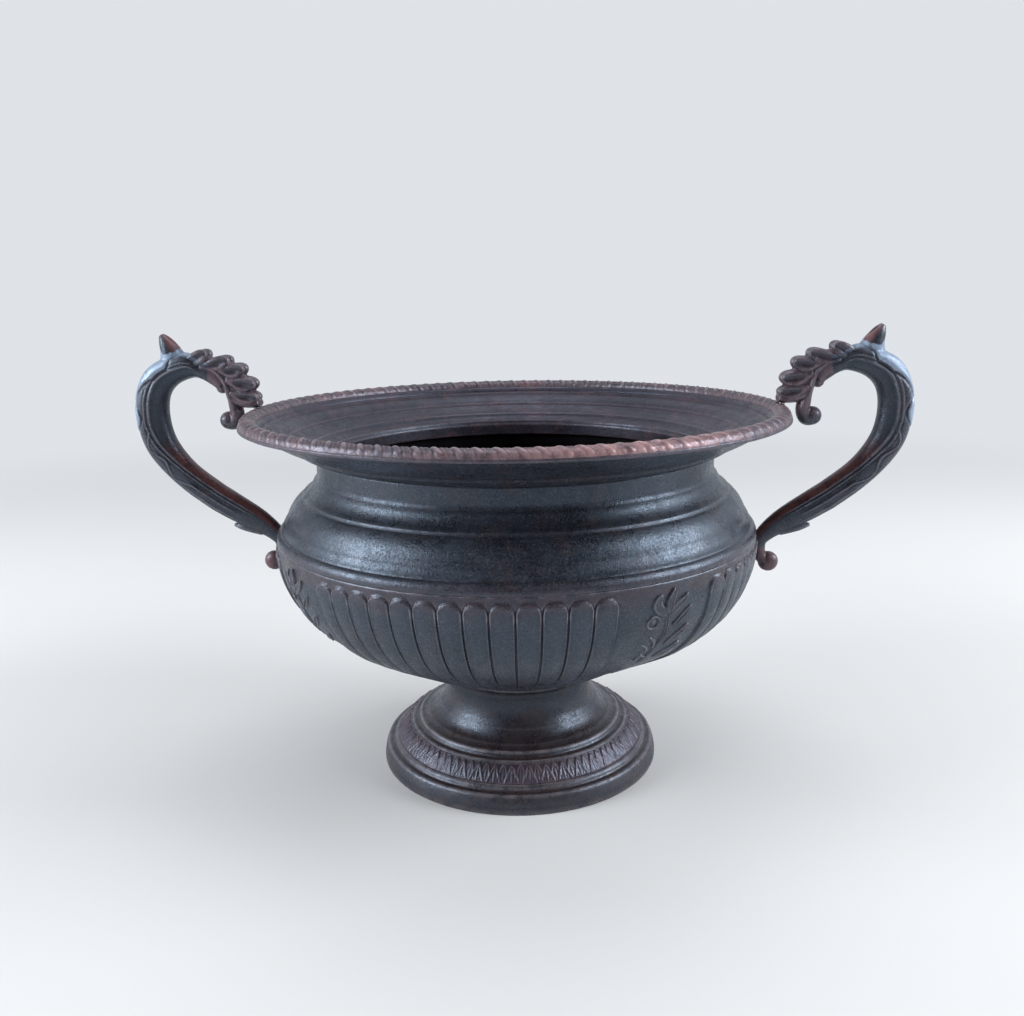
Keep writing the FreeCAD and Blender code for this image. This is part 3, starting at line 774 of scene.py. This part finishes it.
# each station: inner edge, outer edge and width of the scroll, from the bowl round to the rim
armStations = [
    ((156.0, 150.5), (164.6, 147.6), 10.0),
    ((161.0, 159.0), (171.0, 152.2), 10.5),
    ((172.0, 170.0), (183.5, 158.5), 12.0),
    ((190.0, 182.5), (201.0, 168.5), 13.5),
    ((201.0, 190.0), (211.0, 175.0), 14.0),
    ((217.5, 203.5), (231.5, 191.5), 15.5),
    ((228.3, 219.0), (247.5, 212.0), 16.5),
    ((231.8, 234.0), (252.7, 234.0), 17.0),
    ((230.3, 248.0), (250.0, 254.0), 17.0),
    ((223.5, 256.5), (240.0, 268.5), 16.5),
    ((212.5, 260.7), (218.0, 277.0), 16.5),
    ((206.0, 259.7), (207.0, 271.5), 15.0),
    ((199.5, 255.5), (195.0, 268.5), 13.0),
    ((196.0, 252.8), (190.4, 258.6), 10.5),
]
armSizes = {
    "rings": 380, "around": 144, "voxel": 0.52, "smoothing": 2, "smoothShare": 0.5, "weld": 0.001,
    # the section's roundness, and how a lift is shared between the sides and the back
    "roundness": 0.85, "backLift": 0.2, "backShare": 0.5,
    # the relief's start and end, in stations
    "fadeIn": (1.9, 2.6), "fadeOut": (11.0, 1.0),
    # the raised line between leaf and band, which moves from low to high over the turn's stations
    "ridgeLow": 0.66, "ridgeHigh": 0.51, "ridgeTurn": (4.6, 6.9), "ridgeGap": 0.075, "ridgeHalf": 0.032,
    "ridgeLift": 0.95, "leafLift": 0.6, "leafEdge": (0.02, 0.05),
    # the lower leaf's wavy edge, and the reeds below it
    "wavy": (4.4, 6.7), "waveSide": 0.40, "waveReach": 0.07, "waves": 0.95, "waveHalf": 0.03, "waveLift": 0.7,
    "wavePocket": (0.05, 0.04, 0.5),
    "reeds": (0.47, 0.30, 0.12), "reedHalf": 0.035, "reedLift": 0.7, "reedsIn": (2.2, 2.8),
    "reedsOut": (4.9, 0.5),
    "shieldStart": 7.4, "shieldOpen": 1.3, "shieldEnd": 10.0, "shieldClose": 0.7, "shieldSide": 0.42,
    "shieldLift": 0.8, "shieldEdge": 0.03, "bluntness": 0.7,
    "lobeStart": 6.55, "lobeEnd": 7.55, "lobeSide": 0.33, "slitDepth": 1.1, "slitHalf": 0.04,
}
# base, tip and half width of the leaf lobes over the rim
leafLobes = [
    ((218.0, 269.8), (200.4, 277.4), 5.0), ((205.0, 268.6), (185.8, 272.4), 5.0),
    ((193.5, 265.8), (176.4, 266.2), 5.0), ((188.5, 259.4), (169.8, 255.6), 5.2),
    ((186.5, 250.8), (168.6, 247.0), 4.5),
]
lobeSizes = {
    "width": 8.4, "place": 4.2, "dent": 2.4, "dentAcross": 0.72, "dentAlong": (0.62, 0.5), "bow": 1.0,
    "rings": 30, "around": 40, "slim": 0.5, "slimTo": 0.55, "roundFrom": 0.62, "leastShare": 0.002,
    "flatness": 0.75, "tipThickness": 0.35,
}
# smaller tubes: middle line, thickness and width at even steps, and the depth of a scoop on the rim side
hornPieces = {
    "leafBody": ([(216, 269.5), (203, 269.3), (191.5, 264), (183.5, 256), (181, 247)],
                 [(9, 11), (11, 12), (15, 12), (16, 12), (14, 12)], 0),
    "stem": ([(205, 268.0), (197, 266.0), (190.6, 259), (188.0, 250), (186.4, 244)],
             [(4.0, 15.5), (4.6, 15.0), (5.0, 14.5), (5.4, 14), (6, 13)], 0),
    "hook": ([(187.5, 250), (185.8, 243), (184.9, 236), (187.0, 231.0), (191.0, 230.9)],
             [(6, 13), (8, 13), (9, 12.5), (9.4, 12.5), (9.5, 12.5)], 0),
    "rimFoot": ([(187, 248), (180, 244.4), (173.5, 243.6), (168.5, 243.8)],
                [(8, 13), (7, 14), (6.4, 14), (5, 12)], 0),
    "rootTail": ([(161.5, 153), (160.8, 146), (161.8, 139.5), (166, 135.2)],
                 [(10, 10), (8.5, 10), (8, 10), (8, 10.5)], 0),
    "spur": ([(174, 157.5), (183, 158.6), (188.5, 159.4), (193.2, 160.4)],
             [(9, 10), (6.6, 9), (4.6, 7), (2.2, 3.6)], 0),
    "thumb": ([(224.2, 269.5), (226.6, 279), (229.4, 285.2), (231.8, 288.8)],
              [(20, 14.5), (13.5, 13), (8.8, 10), (3.6, 5)], 2.8),
}
hornSizes = {"rings": 28, "around": 32, "ahead": 0.01, "scoopAcross": 0.75, "scoopAlong": (0.62, 0.4)}
# balls that end the scrolls: place, radius and flatness
scrollEnds = {
    "volute": ((190.8, 232.2), 6.0, 1.05), "root": ((167.2, 135.3), 6.7, 0.82),
    "nub": ((193.4, 254.0), 3.9, 1.3),
}


def ridgeSide(station):
    low, high = armSizes["ridgeLow"], armSizes["ridgeHigh"]
    return low + (high - low) * ease(station, *armSizes["ridgeTurn"])


def shieldSide(station):
    sizes = armSizes
    start, end = sizes["shieldStart"], sizes["shieldEnd"]
    if not start < station < end:
        return -1
    opening = clamp((station - start) / sizes["shieldOpen"]) ** sizes["bluntness"]
    return sizes["shieldSide"] * opening * ease(end - station, 0, sizes["shieldClose"])


def lobeSide(station):
    sizes = armSizes
    start, end = sizes["lobeStart"], sizes["lobeEnd"]
    if not start < station < end:
        return -1
    return sizes["lobeSide"] * math.sin(math.pi * (station - start) / (end - start)) ** sizes["bluntness"]


def armRelief(station, side):
    # station counts the stations from the bowl, side runs from 0 on the back to 1 on the inside
    sizes = armSizes
    ridge = ridgeSide(station)
    lift = 0.0
    for spot in (ridge, ridge - sizes["ridgeGap"]):
        lift = max(lift, hump(side, spot, sizes["ridgeHalf"]) * sizes["ridgeLift"])
    end, length = sizes["fadeOut"]
    fade = ease(station, *sizes["fadeIn"]) * ease(end - station, 0, length)
    lift += ease(ridge - sizes["ridgeGap"] - side, *sizes["leafEdge"]) * sizes["leafLift"]
    start, end = sizes["wavy"]
    if start < station < end:
        wave = sizes["waveSide"] + sizes["waveReach"] * math.sin(math.tau * station * sizes["waves"])
        away, half, depth = sizes["wavePocket"]
        fold = hump(side, wave, sizes["waveHalf"]) * sizes["waveLift"]
        lift += fold - hump(side, wave - away, half) * depth
    if station < end:
        last, length = sizes["reedsOut"]
        lower = ease(station, *sizes["reedsIn"]) * ease(last - station, 0, length)
        for spot in sizes["reeds"]:
            lift += hump(side, spot, sizes["reedHalf"]) * sizes["reedLift"] * lower
    for edge in (shieldSide(station), lobeSide(station)):
        if edge > 0:
            lift += ease(edge - side, 0, sizes["shieldEdge"]) * sizes["shieldLift"]
            lift -= hump(side, edge + sizes["slitHalf"], sizes["slitHalf"]) * sizes["slitDepth"]
    return lift * fade


def ringLoft(mesh, rings):
    # a grid rolled up into a closed tube through the rings
    count, around = len(rings) - 1, len(rings[0])
    made = bmesh.ops.create_grid(mesh, x_segments=count, y_segments=around, size=1)
    for vert in made["verts"]:
        k = round((vert.co.x + 1) / 2 * count)
        j = round((vert.co.y + 1) / 2 * around) % around
        vert.co = rings[k][j] * mm
    bmesh.ops.remove_doubles(mesh, verts=made["verts"], dist=armSizes["weld"] * mm)
    rims = [edge for edge in mesh.edges if edge.is_boundary]
    bmesh.ops.holes_fill(mesh, edges=rims, sides=0)


def squared(value):
    # rounds a circle's cosine or sine toward a square with soft corners
    return math.copysign(abs(value) ** armSizes["roundness"], value)


def armRings():
    # the rings, and where each of their points lies as (station, side)
    inner, outer, widths = zip(*armStations)
    inner, outer = ([inPlane(*spot) for spot in edge] for edge in (inner, outer))
    count, around, backLift = armSizes["rings"], armSizes["around"], armSizes["backLift"]
    rings, spots = [], []
    for k in range(count + 1):
        u = k / count
        station = u * (len(armStations) - 1)
        low, high, width = through(inner, u), through(outer, u), through(widths, u)
        middle, out = (low + high) / 2, (high - low) / 2
        thick = out.length
        out.normalize()
        ring = []
        for j in range(around):
            turn = math.tau * j / around
            side = abs((turn / math.pi + 1) % 2 - 1)
            c, s = squared(math.cos(turn)), squared(math.sin(turn))
            grow = armRelief(station, side)
            sideways = Vector((0, s * (width / 2 + grow), 0))
            ring.append(middle + out * c * (thick + min(grow, backLift)) + sideways
                        + out * c * max(grow - backLift, 0) * armSizes["backShare"])
            spots.append((station, side))
        rings.append(ring)
    return rings, spots


def hornRings(line, sizes, scoop):
    line = [inPlane(*spot) for spot in line]
    thick, wide = zip(*sizes)
    rings = []
    for k in range(hornSizes["rings"] + 1):
        t = k / hornSizes["rings"]
        here = through(line, t)
        way = wayAlong(line, t, hornSizes["ahead"])
        out = inPlane(way.z, -way.x).normalized()
        ring = []
        for c, s in circle(hornSizes["around"]):
            reach = c * through(thick, t) / 2
            if c < 0:
                reach += scoop * hump(s, 0, hornSizes["scoopAcross"]) * hump(t, *hornSizes["scoopAlong"])
            ring.append(here + out * reach + Vector((0, s * through(wide, t) / 2, 0)))
        rings.append(ring)
    return rings


def lobeRings(base, tip, half, sign):
    # one lobe of a leaf, slim at its base, with a rounded tip and a scooped outer face
    sizes = lobeSizes
    start = inPlane(*base)
    along = inPlane(*tip) - start
    out = inPlane(-along.z, along.x).normalized()
    roundFrom, slim, tipThickness = sizes["roundFrom"], sizes["slim"], sizes["tipThickness"]
    rings = []
    for k in range(sizes["rings"] + 1):
        t = k / sizes["rings"]
        tipRound = 1 - clamp((t - roundFrom) / (1 - roundFrom)) ** 2
        grown = slim + (1 - slim) * ease(t, 0, sizes["slimTo"])
        fat = math.sqrt(max(sizes["leastShare"], tipRound)) * grown
        here = start + along * t + out * sizes["bow"] * 4 * t * (1 - t)
        ring = []
        for c, s in circle(sizes["around"]):
            flat = math.copysign(abs(s) ** sizes["flatness"], s)
            face = flat * sizes["width"] / 2 * (tipThickness + (1 - tipThickness) * fat)
            if s * sign > 0:
                face -= sign * sizes["dent"] * hump(c, 0, sizes["dentAcross"]) * hump(t, *sizes["dentAlong"])
            ring.append(here + out * c * half * fat + Vector((0, sign * sizes["place"] + face, 0)))
        rings.append(ring)
    return rings


def makeHandle():
    mesh = bmesh.new()
    rings, spots = armRings()
    ringLoft(mesh, rings)
    for line, sizes, scoop in hornPieces.values():
        ringLoft(mesh, hornRings(line, sizes, scoop))
    for base, tip, half in leafLobes:
        for sign in (-1, 1):
            ringLoft(mesh, lobeRings(base, tip, half, sign))
    for spot, radius, flatness in scrollEnds.values():
        shape = Matrix.Translation(inPlane(*spot) * mm) @ Matrix.Diagonal((1, flatness, 1, 1))
        bmesh.ops.create_uvsphere(mesh, u_segments=32, v_segments=20, radius=radius * mm, matrix=shape)
    bmesh.ops.recalc_face_normals(mesh, faces=mesh.faces)
    rough = finishMesh("handleRough", mesh)
    cast = rough.modifiers.new("cast", "REMESH")
    cast.mode = "VOXEL"
    cast.voxel_size = armSizes["voxel"] * mm
    soften = rough.modifiers.new("soften", "SMOOTH")
    soften.factor = armSizes["smoothShare"]
    soften.iterations = armSizes["smoothing"]
    graph = bpy.context.evaluated_depsgraph_get()
    data = bpy.data.meshes.new_from_object(rough.evaluated_get(graph))
    bpy.data.objects.remove(rough)
    data.polygons.foreach_set("use_smooth", [True] * len(data.polygons))
    tintHandle(data, rings, spots)
    return data


# where the handles' colours begin and end: places in mm, stations, and shares of a side
tintSizes = {
    "armReach": 2.6, "armEnd": 11.6, "bandEdge": 0.02, "rustBelow": (6.6, 1.6), "plateEdge": (0.01, 0.03),
    # the back entries lay a painted highlight, partly wear, along the outer back of the upper scroll
    "back": (0.34, 0.2), "backFrom": (6.2, 7.4), "backHighlight": 0.45,
    "thumb": (216, 268), "thumbEdge": (219.5, 270), "thumbSlope": 0.72, "thumbRust": 0.8,
    "thumbInner": (1, 4), "thumbOuter": (4.5, 7),
    "lobePart": (0.25, 0.95), "lobeMiddle": 0.55, "lobePink": 0.8, "lobeShade": 0.6,
    "lobeSides": (4.5, 6.5),
    "rootTop": 165, "spurStart": 178, "spurHighlight": 0.5, "spurHeights": (157, 161), "rootRust": 0.6,
    "scrollPink": (228, 238),
}


def edgeShare(edge, side):
    # 1 inside a raised plate's edge, 0 where there is no plate
    spare, soft = tintSizes["plateEdge"]
    return ease(edge + spare - side, 0, soft) if edge > 0 else 0


def armTints(station, side):
    sizes = tintSizes
    ridge, soft = ridgeSide(station), sizes["bandEdge"]
    inner = ease(side, ridge - soft, ridge + soft)
    end, length = sizes["rustBelow"]
    low = ease(end - station, 0, length)
    # the shield, the small lobe and the outer back take the pale painted highlight, partly wear
    reach, soft = sizes["back"]
    back = sizes["backHighlight"] * ease(reach - side, 0, soft) * ease(station, *sizes["backFrom"])
    plate, drop = edgeShare(shieldSide(station), side), edgeShare(lobeSide(station), side)
    # the inner band is rust low down and painted shade higher up
    return inner * low, 0, inner * (1 - low), max(plate, drop, back)


def spotTints(spot, station, side, far):
    # shares of rust, pink, painted shade and pale (a painted highlight, partly wear) at one place, far from
    # the scroll's own face by so many mm
    sizes = tintSizes
    if far < sizes["armReach"] and station < sizes["armEnd"]:
        return armTints(station, side)
    if spot.x > sizes["thumb"][0] and spot.z > sizes["thumb"][1]:
        # the thumb leaf: pale along its outer edge, a painted highlight with some wear
        x, z = sizes["thumbEdge"]
        outer = spot.x - (x + sizes["thumbSlope"] * (spot.z - z))
        rust = ease(-outer, *sizes["thumbInner"]) * sizes["thumbRust"]
        return rust, 0, 0, ease(outer, *sizes["thumbOuter"])
    first, last = sizes["lobePart"]
    for base, tip, half in leafLobes:
        along = inPlane(*tip) - inPlane(*base)
        offset = inPlane(spot.x, spot.z) - inPlane(*base)
        share = offset.dot(along) / along.length_squared
        if first < share < last and (offset - along * share).length < half * sizes["lobeMiddle"]:
            # lobes are pink, with painted shade toward their sides
            return 0, sizes["lobePink"], sizes["lobeShade"] * ease(abs(spot.y), *sizes["lobeSides"]), 0
    if spot.z < sizes["rootTop"]:
        if spot.x > sizes["spurStart"]:
            # the spur takes the pale painted highlight, partly wear, growing upward
            return 0, 0, 0, sizes["spurHighlight"] * ease(spot.z, *sizes["spurHeights"])
        return sizes["rootRust"], 0, 0, 0
    return 0, ease(spot.z, *sizes["scrollPink"]), 0, 0


def tintHandle(data, rings, spots):
    tree = KDTree(len(spots))
    for number, point in enumerate(point for ring in rings for point in ring):
        tree.insert(point, number)
    tree.balance()
    shares = []
    for vert in data.vertices:
        spot = vert.co / mm
        _, number, far = tree.find(spot)
        shares.append(spotTints(spot, *spots[number], far))
    for name, values in zip(("rust", "pink", "paintedShade", "paleHighlightAndWear"), zip(*shares)):
        storeLayer(data, name, values)


def bothHandles():
    data = makeHandle()
    print("handle faces", len(data.polygons))
    other = data.copy()
    other.transform(Matrix.Rotation(math.pi, 4, "Z"))
    for name, mesh in (("right", data), ("left", other)):
        piece = addObject("handle_" + name + "_cast", mesh)
        place(piece, "handle_metal", handleMetal, "handle_" + name, 1.2, passes=3)


bothHandles()
print("handles made")


# fasteners, as the frame has them

def plainFinish(name, colour, metal, smoothest, roughest):
    material, tree, shader = startMaterial(name)
    fill(shader, {"Base Color": (*colour, 1), "Metallic": metal, "Roughness": smoothest})
    if roughest > smoothest:
        tree.links.new(pattern(tree, "brushing", smoothest, roughest), shader.inputs["Roughness"])
    return material


steel = plainFinish("screwSteel", (0.42, 0.41, 0.40), 1.0, 0.30, 0.48)
gasketRubber = plainFinish("gasketRubber", (0.018, 0.018, 0.019), 0.0, 0.75, 0.75)
replaced = {"foot", "bowl", "shoulder", "rim", "rope_edge", "handle_right", "handle_left"}
for name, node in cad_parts.items():
    if name not in replaced:
        node.data.materials.clear()
        node.data.materials.append(gasketRubber if name == "tie_gasket" else steel)
print("fasteners finished")


# floor, light and camera

studio = {
    "floor": (0.755, 0.745, 0.73), "front": (0.12, 0.135, 0.165), "back": (0.74, 0.77, 0.81),
    # in metres: half the floor's side, its drop below the foot, and where it fades into the wall
    "floorHalf": 6.0, "floorDrop": 0.0002, "floorFade": (0.75, 1.7), "floorRoughness": 0.6,
    "wallFade": (-0.3, 0.8), "lampColour": (0.92, 0.96, 1.0), "lampAim": 0.15,
    # turn from the front toward +X and tilt up in degrees, how far and wide in metres, and power in watts
    "lamps": [(-72, 22, 1.8, 1.0, 31.0), (86, 28, 1.8, 1.0, 31.0), (180, 80, 2.6, 1.3, 13.0)],
    "lens": 33.17, "sensor": 36, "nearest": 0.01, "cameraPlace": (0.0409, -0.6132, 0.3147),
    "cameraTurn": 4.06, "cameraPitch": 13.10, "cameraRoll": -1.02,
}


def makeFloor():
    mesh = bmesh.new()
    bmesh.ops.create_grid(mesh, x_segments=1, y_segments=1, size=studio["floorHalf"])
    floor = finishMesh("floor", mesh)
    floor.location.z = -studio["floorDrop"]
    material, tree, shader = startMaterial("floorPaint")
    fill(shader, {"Base Color": (*studio["floor"], 1), "Roughness": studio["floorRoughness"]})
    # far off the floor takes the colour of the wall behind, so that no edge shows
    spot = tree.nodes.new("ShaderNodeTexCoord")
    away = tree.nodes.new("ShaderNodeVectorMath")
    away.operation = "LENGTH"
    tree.links.new(spot.outputs["Object"], away.inputs[0])
    seen = tree.nodes.new("ShaderNodeLightPath")
    direct = seen.outputs["Is Camera Ray"]
    for ray in ("Is Glossy Ray", "Is Transmission Ray"):
        direct = combine(tree, "MAXIMUM", direct, seen.outputs[ray])
    wall = tree.nodes.new("ShaderNodeEmission")
    wall.inputs["Color"].default_value = (*studio["back"], 1)
    mix = tree.nodes.new("ShaderNodeMixShader")
    fade = spread(tree, away.outputs["Value"], *studio["floorFade"])
    tree.links.new(times(tree, direct, fade), mix.inputs["Fac"])
    tree.links.new(shader.outputs["BSDF"], mix.inputs[1])
    tree.links.new(wall.outputs["Emission"], mix.inputs[2])
    tree.links.new(mix.outputs["Shader"], tree.nodes["Material Output"].inputs["Surface"])
    floor.data.materials.append(material)


def makeLights():
    # a plain room: a pale wall behind, dimmer in front, and a softbox at each side
    world = bpy.data.worlds.new("studio")
    world.use_nodes = True
    tree = world.node_tree
    direction = tree.nodes.new("ShaderNodeTexCoord")
    split = tree.nodes.new("ShaderNodeSeparateXYZ")
    tree.links.new(direction.outputs["Generated"], split.inputs["Vector"])
    fade = spread(tree, split.outputs["Y"], *studio["wallFade"])
    wall = blendColour(tree, fade, studio["front"], studio["back"])
    tree.links.new(wall, tree.nodes["Background"].inputs["Color"])
    bpy.context.scene.world = world
    for number, (turn, tilt, far, size, power) in enumerate(studio["lamps"]):
        turn, tilt = math.radians(turn), math.radians(tilt)
        light = bpy.data.lights.new("softbox%d" % number, "AREA")
        light.size = size
        light.energy = power
        light.color = studio["lampColour"]
        lamp = addObject("softbox%d" % number, light)
        way = Vector((math.sin(turn) * math.cos(tilt), -math.cos(turn) * math.cos(tilt), math.sin(tilt)))
        lamp.location = way * far + Vector((0, 0, studio["lampAim"]))
        lamp.rotation_euler = way.to_track_quat("Z", "Y").to_euler()


def makeCamera():
    camera = bpy.data.cameras.new("camera")
    camera.lens = studio["lens"]
    camera.sensor_width = studio["sensor"]
    camera.clip_start = studio["nearest"]
    holder = addObject("camera", camera)
    turn = Matrix.Rotation(math.radians(studio["cameraTurn"]), 4, "Z")
    pitch = Matrix.Rotation(math.radians(90 - studio["cameraPitch"]), 4, "X")
    roll = Matrix.Rotation(math.radians(studio["cameraRoll"]), 4, "Z")
    holder.matrix_world = Matrix.Translation(studio["cameraPlace"]) @ turn @ pitch @ roll
    bpy.context.scene.camera = holder


makeFloor()
makeLights()
makeCamera()
bpy.context.scene.view_settings.view_transform = "Standard"
print("floor, light and camera set")
